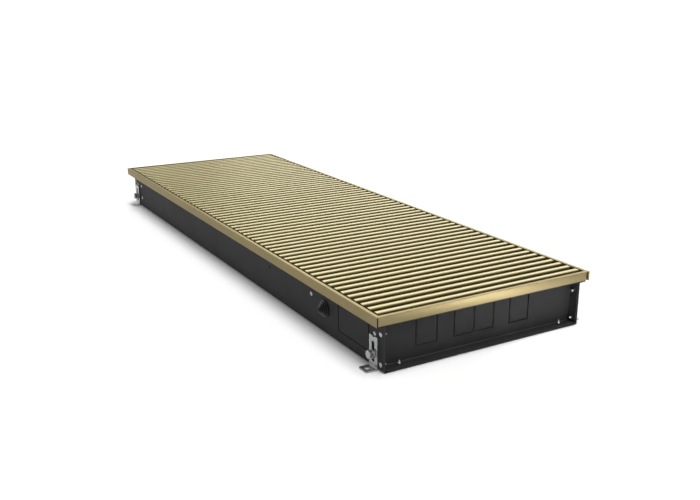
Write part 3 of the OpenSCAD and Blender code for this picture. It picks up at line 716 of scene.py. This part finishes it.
def thicken(obj):
    """Gives the folded sheet its wall, half to each side."""
    edit(obj)
    bpy.ops.mesh.select_all(action="SELECT")
    bpy.ops.mesh.remove_doubles(threshold=MERGE_WITHIN)
    bpy.ops.mesh.normals_make_consistent(inside=False)
    leave()
    use_modifier(obj, "SOLIDIFY", thickness=SHEET, offset=0, use_even_offset=True)


def slit_cutters(wide, high, place):
    """Saw cuts round a panel, with a bridge left in each upright and in the top."""
    half, bridge = KNOCK_SLIT / 2, KNOCK_BRIDGE / 2
    edge, deep = wide / 2, 4 * SHEET
    bars = [(-edge, -half, edge, half)]
    for side in (-1, 1):
        low, high_end = side * edge - half, side * edge + half
        bars += [(low, -half, high_end, high / 2 - bridge), (low, high / 2 + bridge, high_end, high + half)]
        left, right = sorted((side * bridge, side * edge))
        bars.append((left, high - half, right, high + half))
    cutters = []
    for left, bottom, right, top in bars:
        cutter = block("saw", (left, -deep, bottom), (right, deep, top))
        cutter.data.transform(place)
        cutters.append(cutter)
    return cutters


def make_trough():
    """The long channel: floor, walls, ledges and hemmed lips, folded from one sheet."""
    low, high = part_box("trough")
    half = SHEET / 2
    floor_z, ledge_z, hem_z = low.z + half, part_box("front_rest_strip")[0].z - half, high.z - half
    wall_y, lip_y = WALL_Y - half, high.y - 1.5 * SHEET
    trough = flat("trough_sheet", (low.x, -wall_y, floor_z), (high.x, wall_y, floor_z))
    edit(trough)
    along = lambda way: abs(way.x) > ALONG
    fold_out((0, 0, ledge_z - floor_z), lambda mid, way: along(way) and same(abs(mid.y), wall_y))
    for side in (-1, 1):
        fold_out((0, side * (lip_y - wall_y), 0), lambda mid, way: along(way)
                 and same(mid.y, side * wall_y) and same(mid.z, ledge_z))
        fold_out((0, 0, hem_z - ledge_z), lambda mid, way: along(way) and same(mid.y, side * lip_y))
        fold_out((0, side * SHEET, 0), lambda mid, way: along(way)
                 and same(mid.y, side * lip_y) and same(mid.z, hem_z))
        fold_out((0, 0, half - HEM_HIGH), lambda mid, way: along(way)
                 and same(mid.y, side * (lip_y + SHEET)))
    round_folds(FOLD_ROUND, 0, hem_z - half)
    round_folds(HEM_ROUND, hem_z - half, high.z)
    leave()
    thicken(trough)
    through = lambda x, z, radius: rod("drill", (x, low.y, z), (x, high.y, z), radius)
    near, far, upper, lower = support_rivet_lines()
    spots = end_rivet_spots() + both_ends(bolt_spots()[1][0], upper) + [(near, upper)]
    spots += [(x, z) for x in (far, SPARE_HOLE_X) for z in (upper, lower)]
    carve(trough, *[through(x, z, RIVET_HOLE) for x, z in spots])
    carve(trough, *[through(x, z, BOLT_SHANK) for x, z in bolt_spots()])
    axis = middle_of("cable_grommet")
    carve(trough, rod("drill", (axis.x, low.y, axis.z), (axis.x, 0, axis.z), GROMMET_GROOVE, 48))
    carve(trough, *floor_drills())
    side_panel = at(SIDE_KNOCK_X, -wall_y, SIDE_KNOCK_Z)
    return carve(trough, *slit_cutters(SIDE_KNOCK_WIDE, SIDE_KNOCK_HIGH, side_panel))


def floor_drills():
    """Cutting tools for the holes of the floor rivets."""
    return [rod("drill", (x, y, 0), (x, y, FLOOR_DRILL_HIGH), RIVET_HOLE) for x, y in floor_rivet_spots()]


def make_end_plate():
    """The connection end: a plate with flanges bent outwards, four knock-outs, ledge and lip."""
    low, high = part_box("near_end_plate")
    half = SHEET / 2
    plate_x, flange_x, lip_x = low.x + half, high.x - END_FLANGE_SHORT, high.x - half
    side_y, bottom_z = WALL_Y - SHEET - half, low.z + half
    ledge_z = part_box("front_rest_strip")[0].z - half
    plate = flat("end_plate", (plate_x, -side_y, bottom_z), (plate_x, side_y, ledge_z))
    edit(plate)
    notch_y = side_y - CORNER_NOTCH
    notch_low, notch_high = bottom_z + CORNER_NOTCH, ledge_z - CORNER_NOTCH
    for point in ((0, notch_y, 0), (0, -notch_y, 0)):
        slice_at(point, (0, 1, 0))
    for point in ((0, 0, notch_low), (0, 0, notch_high)):
        slice_at(point, (0, 0, 1))
    choose("FACE", lambda mid, way: abs(mid.y) > notch_y and not notch_low < mid.z < notch_high)
    bpy.ops.mesh.delete(type="FACE")
    fold_out((flange_x - plate_x, 0, 0), lambda mid, way: same(mid.z, bottom_z))
    fold_out((flange_x - plate_x, 0, 0), lambda mid, way: same(abs(mid.y), side_y)
             and same(mid.x, plate_x))
    fold_out((lip_x - plate_x, 0, 0), lambda mid, way: same(mid.z, ledge_z))
    fold_out((0, 0, TRIM_LEG_GAP + half), lambda mid, way: same(mid.z, ledge_z) and same(mid.x, lip_x))
    wing_z = ledge_z + TRIM_LEG_GAP + half
    fold_out((0, 0, high.z - wing_z), lambda mid, way: same(mid.z, wing_z))
    for side in (-1, 1):
        fold_out((0, side * (high.y - notch_y), 0), lambda mid, way: mid.z > wing_z and abs(way.z) > FACING
                 and same(mid.y, side * notch_y))
    round_folds(FOLD_ROUND, 0, high.z)
    leave()
    thicken(plate)
    for y in KNOCK_YS:
        panel = at(plate_x, y, KNOCK_Z) @ Matrix.Rotation(math.pi / 2, 4, "Z")
        carve(plate, *slit_cutters(KNOCK_WIDE, KNOCK_HIGH, panel))
    carve(plate, *[rod("drill", (x, -WALL_Y, z), (x, WALL_Y, z), RIVET_HOLE)
                   for x, z in end_rivet_spots() if x > 0])
    return carve(plate, *floor_drills())


# ---------------------------------------------------------------- shader groups

def new_group(name, inputs, outputs):
    """An empty node group with these sockets, and its two end nodes."""
    group = bpy.data.node_groups.new(name, "ShaderNodeTree")
    for label, kind, value in inputs:
        socket = group.interface.new_socket(label, in_out="INPUT", socket_type=kind)
        if value is not None:
            socket.default_value = value
    for label, kind in outputs:
        group.interface.new_socket(label, in_out="OUTPUT", socket_type=kind)
    return group, group.nodes.new("NodeGroupInput"), group.nodes.new("NodeGroupOutput")


def link(tree, source, target):
    tree.links.new(source, target)


def feed(tree, value, socket):
    """Gives a socket a number, or links it to another node's output."""
    if isinstance(value, (int, float)):
        socket.default_value = value
    else:
        link(tree, value, socket)


def math_node(tree, operation, a, b):
    node = tree.nodes.new("ShaderNodeMath")
    node.operation = operation
    feed(tree, a, node.inputs[0])
    feed(tree, b, node.inputs[1])
    return node.outputs[0]


def map_range(tree, value, low, high, to_low, to_high):
    """Maps the range from low to high on another one, and holds it there."""
    node = tree.nodes.new("ShaderNodeMapRange")
    sockets = ("Value", "From Min", "From Max", "To Min", "To Max")
    for socket, number in zip(sockets, (value, low, high, to_low, to_high)):
        feed(tree, number, node.inputs[socket])
    return node.outputs["Result"]


def make_grain_group():
    """Fine even grain, as of powder coat or moulded rubber."""
    group, given, out = new_group(
        "Grain",
        [("Vector", "NodeSocketVector", None), ("Grains per metre", "NodeSocketFloat", 2500.0),
         ("Depth", "NodeSocketFloat", 1.0)],
        [("Height", "NodeSocketFloat"), ("Speck", "NodeSocketFloat")])
    noise = group.nodes.new("ShaderNodeTexNoise")
    noise.inputs["Detail"].default_value = 3.0
    noise.inputs["Roughness"].default_value = 0.6
    link(group, given.outputs["Vector"], noise.inputs["Vector"])
    link(group, given.outputs["Grains per metre"], noise.inputs["Scale"])
    link(group, math_node(group, "MULTIPLY", noise.outputs["Fac"], given.outputs["Depth"]),
         out.inputs["Height"])
    link(group, noise.outputs["Fac"], out.inputs["Speck"])
    return group


def make_brushing_group():
    """Long fine streaks along one axis, as of brushed or drawn metal."""
    group, given, out = new_group(
        "Brushing",
        [("Vector", "NodeSocketVector", None), ("Stretch", "NodeSocketVector", (1.0, 1.0, 1.0)),
         ("Streaks per metre", "NodeSocketFloat", 2500.0)],
        [("Streaks", "NodeSocketFloat")])
    stretch = group.nodes.new("ShaderNodeVectorMath")
    stretch.operation = "MULTIPLY"
    link(group, given.outputs["Vector"], stretch.inputs[0])
    link(group, given.outputs["Stretch"], stretch.inputs[1])
    noise = group.nodes.new("ShaderNodeTexNoise")
    noise.inputs["Detail"].default_value = 4.0
    noise.inputs["Roughness"].default_value = 0.7
    link(group, stretch.outputs["Vector"], noise.inputs["Vector"])
    link(group, given.outputs["Streaks per metre"], noise.inputs["Scale"])
    link(group, noise.outputs["Fac"], out.inputs["Streaks"])
    return group


def make_smudge_group():
    """Soft uneven patches, as left by handling and by the finishing bath."""
    group, given, out = new_group(
        "Smudges",
        [("Vector", "NodeSocketVector", None), ("Patches per metre", "NodeSocketFloat", 20.0),
         ("Low", "NodeSocketFloat", 0.0), ("High", "NodeSocketFloat", 1.0)],
        [("Level", "NodeSocketFloat")])
    noise = group.nodes.new("ShaderNodeTexNoise")
    noise.inputs["Detail"].default_value = 5.0
    noise.inputs["Distortion"].default_value = 0.6
    link(group, given.outputs["Vector"], noise.inputs["Vector"])
    link(group, given.outputs["Patches per metre"], noise.inputs["Scale"])
    level = map_range(group, noise.outputs["Fac"], NOISE_LOW, NOISE_HIGH,
                      given.outputs["Low"], given.outputs["High"])
    link(group, level, out.inputs["Level"])
    return group


GRAIN = make_grain_group()
BRUSHING = make_brushing_group()
SMUDGES = make_smudge_group()


# ---------------------------------------------------------------- materials

class Finish:
    """A material under construction: its tree, its shader and its object coordinates."""

    def __init__(self, name, **constants):
        self.material = bpy.data.materials.new(name)
        self.material.use_nodes = True
        self.tree = self.material.node_tree
        self.shader = self.tree.nodes["Principled BSDF"]
        self.place = self.tree.nodes.new("ShaderNodeTexCoord").outputs["Object"]
        for socket, value in constants.items():
            self.shader.inputs[socket.replace("_", " ")].default_value = value

    def put(self, group, **values):
        """Places a shader group with its own values, and gives its outputs."""
        node = self.tree.nodes.new("ShaderNodeGroup")
        node.node_tree = group
        link(self.tree, self.place, node.inputs["Vector"])
        for socket, value in values.items():
            node.inputs[socket.replace("_", " ")].default_value = value
        return node.outputs

    def colour(self, mask, low, high):
        node = self.tree.nodes.new("ShaderNodeMix")
        node.data_type = "RGBA"
        link(self.tree, mask, node.inputs["Factor"])
        node.inputs["A"].default_value = (*low, 1)
        node.inputs["B"].default_value = (*high, 1)
        link(self.tree, node.outputs["Result"], self.shader.inputs["Base Color"])

    def roughness(self, value, low, high):
        mapped = map_range(self.tree, value, NOISE_LOW, NOISE_HIGH, low, high)
        link(self.tree, mapped, self.shader.inputs["Roughness"])

    def bump(self, height, strength, distance):
        node = self.tree.nodes.new("ShaderNodeBump")
        node.inputs["Strength"].default_value = strength
        node.inputs["Distance"].default_value = distance
        link(self.tree, height, node.inputs["Height"])
        link(self.tree, node.outputs["Normal"], self.shader.inputs["Normal"])


def make_black_paint():
    """Matt powder coat of the trough and the end plates."""
    paint = Finish("black_paint", Specular_IOR_Level=0.10)
    grain = paint.put(GRAIN, Grains_per_metre=1800.0)
    cloud = paint.put(SMUDGES, Patches_per_metre=14.0)
    paint.colour(cloud["Level"], (0.027, 0.027, 0.028), (0.034, 0.034, 0.035))
    paint.roughness(grain["Speck"], 0.55, 0.70)
    paint.bump(grain["Height"], 0.25, 0.00005)
    return paint.material


def make_gold(name, stretch, low, high, grazing):
    """Satin gold anodising, with its drawing lines along one axis; a grazing tint below white dims its
    reflection, which the trims use as painted shade.
    """
    gold = Finish(name, Metallic=0.72, Specular_Tint=(*grazing, 1))
    streaks = gold.put(BRUSHING, Stretch=stretch, Streaks_per_metre=3000.0)
    cloud = gold.put(SMUDGES, Patches_per_metre=9.0)
    mixed = math_node(gold.tree, "ADD", math_node(gold.tree, "MULTIPLY", streaks["Streaks"], 0.7),
                      math_node(gold.tree, "MULTIPLY", cloud["Level"], 0.3))
    gold.colour(mixed, low, high)
    gold.roughness(streaks["Streaks"], 0.30, 0.42)
    gold.bump(streaks["Streaks"], 0.12, 0.00004)
    return gold.material


def make_metal(name, low, high, rough, patches, stretch=None, metallic=1.0):
    """Bare or plated metal, drawn along one axis where a stretch is given."""
    metal = Finish(name, Metallic=metallic)
    cloud = metal.put(SMUDGES, Patches_per_metre=patches)
    metal.colour(cloud["Level"], low, high)
    if stretch:
        fine = metal.put(BRUSHING, Stretch=stretch, Streaks_per_metre=2500.0)["Streaks"]
    else:
        fine = metal.put(GRAIN, Grains_per_metre=1500.0)["Speck"]
    metal.roughness(fine, *rough)
    metal.bump(fine, 0.1, 0.00003)
    return metal.material


def make_matt(name, low, high, rough, gloss):
    """A dark surface with a fine even grain: rubber, plastic, or the paler grey that paints a highlight on
    the foot's fold.
    """
    matt = Finish(name, Specular_IOR_Level=gloss)
    grain = matt.put(GRAIN, Grains_per_metre=2200.0)
    cloud = matt.put(SMUDGES, Patches_per_metre=40.0)
    matt.colour(cloud["Level"], low, high)
    matt.roughness(grain["Speck"], *rough)
    matt.bump(grain["Height"], 0.3, 0.00006)
    return matt.material


BLACK_PAINT = make_black_paint()
# The trims get a darker copy of the slats' gold, with a dimmer grazing tint: painted shade on their skirts
# and rims.
SHADED_TRIM_GOLD = ((0.206, 0.167, 0.083), (0.270, 0.219, 0.108), (0.66, 0.61, 0.50))
SLAT_GOLD = ((0.300, 0.256, 0.112), (0.380, 0.325, 0.146), (1.0, 1.0, 1.0))
SHADED_GOLD_ALONG_X = make_gold("shaded_gold_along_x", (0.01, 1.0, 1.0), *SHADED_TRIM_GOLD)
SHADED_GOLD_ALONG_Y = make_gold("shaded_gold_along_y", (1.0, 0.01, 1.0), *SHADED_TRIM_GOLD)
GOLD_OF_SLATS = make_gold("gold_of_slats", (1.0, 0.01, 1.0), *SLAT_GOLD)
ZINC = make_metal("zinc", (0.30, 0.305, 0.315), (0.40, 0.40, 0.395), (0.14, 0.28), 60.0,
                  metallic=0.80)
COPPER = make_metal("copper", (0.62, 0.30, 0.17), (0.84, 0.48, 0.31), (0.22, 0.40), 35.0,
                    (0.02, 1.0, 1.0))
BRASS = make_metal("brass", (0.58, 0.43, 0.17), (0.80, 0.63, 0.31), (0.18, 0.34), 50.0)
FIN_METAL = make_metal("fin_aluminium", (0.56, 0.57, 0.585), (0.70, 0.71, 0.72), (0.40, 0.55), 25.0,
                       (1.0, 0.02, 1.0), metallic=0.75)
RUBBER = make_matt("rubber", (0.004, 0.004, 0.0045), (0.009, 0.009, 0.0095), (0.28, 0.42), 0.25)
# A paler grey standing in for the highlight on the inner round of the end plates' foot fold: painted
# highlight.
FOLD_HIGHLIGHT_PAINT = make_matt("painted_fold_highlight", (0.080, 0.081, 0.083), (0.115, 0.116, 0.118),
                       (0.40, 0.55), 0.3)
BLACK_PLASTIC = make_matt("black_plastic", (0.012, 0.012, 0.013), (0.020, 0.020, 0.021),
                          (0.35, 0.55), 0.5)

SLOT_MATERIALS = {
    "black_paint": BLACK_PAINT,
    "gold_anodised": GOLD_OF_SLATS,
    "zinc": ZINC,
    "fin_aluminium": FIN_METAL,
    "copper": COPPER,
    "brass": BRASS,
    "rubber": RUBBER,
    "black_plastic": BLACK_PLASTIC,
}


def dress(obj, material):
    """Gives an object this material alone."""
    obj.data.materials.clear()
    obj.data.materials.append(material)


def dress_frame():
    """Gives every CAD node the material of its slot."""
    for node, slot in SLOTS.items():
        dress(NODES[node], SLOT_MATERIALS[slot])


def stand_for(piece, material, node):
    """Dresses a finished piece, smooths its round faces and shows it in place of its node."""
    pick(piece)
    bpy.ops.object.shade_smooth_by_angle(angle=SMOOTH_ANGLE)
    dress(piece, material)
    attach(piece, NODES[node]["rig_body"])
    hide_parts(node)


def paint_fold_highlight(plate):
    """Paints a highlight along the inner round of the foot's fold, with a paler grey paint on those faces.
    """
    plate.data.materials.append(FOLD_HIGHLIGHT_PAINT)
    edit(plate)
    choose("FACE", lambda mid, way: mid.z < FOOT_FOLD_BELOW and way.z > LEANING
           and abs(way.x) > LEANING and abs(mid.y) < WALL_Y - SHEET - CORNER_NOTCH)
    plate.active_material_index = 1
    bpy.ops.object.material_slot_assign()
    leave()


dress_frame()

# The four trims take the darker gold that paints their shade.
trim = make_side_trim()
stand_for(twin(trim, "trim_back", mirrored(y=-1)), SHADED_GOLD_ALONG_X, "back_trim")
stand_for(trim, SHADED_GOLD_ALONG_X, "front_trim")
trim = make_end_trim()
stand_for(twin(trim, "trim_far_end", mirrored(x=-1)), SHADED_GOLD_ALONG_Y, "far_end_trim")
stand_for(trim, SHADED_GOLD_ALONG_Y, "near_end_trim")
stand_for(make_slats(), GOLD_OF_SLATS, "grille_slats")

bracket = make_bracket()
for end, x in (("near", 1), ("far", -1)):
    for side, y in (("front", 1), ("back", -1)):
        other = twin(bracket, "bracket_" + end + "_" + side, mirrored(x, y))
        stand_for(other, ZINC, end + "_" + side + "_bracket")
bpy.data.objects.remove(bracket)

clamping = ("clamp_bolts", "flat_washers", "spring_washers", "clinch_nuts")
for piece, node in zip(make_clamping(), clamping):
    stand_for(piece, ZINC, node)
for piece, node in zip(make_wall_rivets(), ("end_plate_rivets", "stop_rivets", "support_rivets")):
    stand_for(piece, ZINC, node)
stand_for(make_floor_rivets(), ZINC, "floor_rivets")
stand_for(make_grommet(), RUBBER, "cable_grommet")

stand_for(make_trough(), BLACK_PAINT, "trough")
plate = make_end_plate()
other_plate = twin(plate, "plate_far_end", mirrored(-1, -1))
plate.name = "plate_near_end"
stand_for(other_plate, BLACK_PAINT, "far_end_plate")
stand_for(plate, BLACK_PAINT, "near_end_plate")
# Paints a highlight on each end plate's foot fold.
paint_fold_highlight(other_plate)
paint_fold_highlight(plate)


# ---------------------------------------------------------------- floor, light and camera

def make_floor():
    """A wide pale floor that keeps the shadow and shows white to the camera."""
    deselect()
    bpy.ops.mesh.primitive_plane_add(size=FLOOR_SIZE, location=(0, 0, 0))
    floor = bpy.context.object
    floor.name = "floor"
    material = bpy.data.materials.new("floor")
    material.use_nodes = True
    tree = material.node_tree
    shader = tree.nodes["Principled BSDF"]
    shader.inputs["Base Color"].default_value = FLOOR_COLOUR
    shader.inputs["Roughness"].default_value = 1.0
    shader.inputs["Specular IOR Level"].default_value = 0.0
    shader.inputs["Emission Color"].default_value = (1, 1, 1, 1)
    lift = math_node(tree, "MULTIPLY", seen_rays(tree), FLOOR_LIFT)
    link(tree, lift, shader.inputs["Emission Strength"])
    floor.data.materials.append(material)


def seen_rays(tree):
    """1 for what the camera sees, straight or in metal and glass."""
    rays = tree.nodes.new("ShaderNodeLightPath").outputs
    return math_node(tree, "MAXIMUM", rays["Is Camera Ray"],
                     math_node(tree, "MAXIMUM", rays["Is Glossy Ray"], rays["Is Transmission Ray"]))


def make_world():
    """A studio with a pale ceiling and dim walls, which camera and metal see as white."""
    world = bpy.data.worlds.new("studio")
    bpy.context.scene.world = world
    world.use_nodes = True
    tree = world.node_tree
    way = tree.nodes.new("ShaderNodeTexCoord").outputs["Generated"]
    height = tree.nodes.new("ShaderNodeSeparateXYZ")
    link(tree, way, height.inputs["Vector"])
    sky = map_range(tree, height.outputs["Z"], *SKY_RISE, SKY_LOW, SKY_HIGH)
    background = tree.nodes["Background"]
    background.inputs["Color"].default_value = (1, 1, 1, 1)
    link(tree, pick_value(tree, seen_rays(tree), sky, 1.0), background.inputs["Strength"])


def pick_value(tree, switch, off, on):
    """One value where the switch is 0, the other where it is 1."""
    node = tree.nodes.new("ShaderNodeMix")
    for socket, value in (("Factor", switch), ("A", off), ("B", on)):
        feed(tree, value, node.inputs[socket])
    return node.outputs["Result"]


def place_lamp(name, lamp, spot, way):
    """Hangs a lamp up so that its light comes from this way."""
    holder = bpy.data.objects.new(name, lamp)
    bpy.context.scene.collection.objects.link(holder)
    holder.location = spot
    holder.rotation_euler = Vector(way).to_track_quat("Z", "Y").to_euler()


def make_lamps():
    """Two soft suns, a large pale panel past the far end and a small lamp by the near end."""
    for name, way, power, softness in (("key", KEY_FROM, KEY_POWER, KEY_SOFTNESS),
                                       ("fill", FILL_FROM, FILL_POWER, FILL_SOFTNESS)):
        sun = bpy.data.lights.new(name, "SUN")
        sun.energy = power
        sun.angle = math.radians(softness)
        place_lamp(name, sun, SUN_AT, way)
    for name, place, aim, size, spread_angle, power in (
            ("far_wall", FAR_WALL_AT, FAR_WALL_TO, FAR_WALL_SIZE, FAR_WALL_SPREAD, FAR_WALL_POWER),
            ("end_lamp", END_LAMP_AT, END_LAMP_TO, END_LAMP_SIZE, END_LAMP_SPREAD, END_LAMP_POWER)):
        panel = bpy.data.lights.new(name, "AREA")
        panel.energy = power
        panel.shape = "RECTANGLE"
        panel.size, panel.size_y = size
        panel.spread = math.radians(spread_angle)
        place_lamp(name, panel, place, Vector(place) - Vector(aim))
        bpy.data.objects[name].visible_camera = False


def make_camera():
    """The camera at the photograph's viewpoint."""
    lens = bpy.data.cameras.new("camera")
    lens.lens = CAMERA_LENS
    lens.sensor_width = CAMERA_FILM
    lens.clip_end = CAMERA_REACH
    camera = bpy.data.objects.new("camera", lens)
    bpy.context.scene.collection.objects.link(camera)
    camera.location = CAMERA_AT
    camera.rotation_euler = [math.radians(turn) for turn in CAMERA_TURN]
    bpy.context.scene.camera = camera


make_floor()
make_world()
make_lamps()
make_camera()
bpy.context.scene.view_settings.view_transform = "Standard"
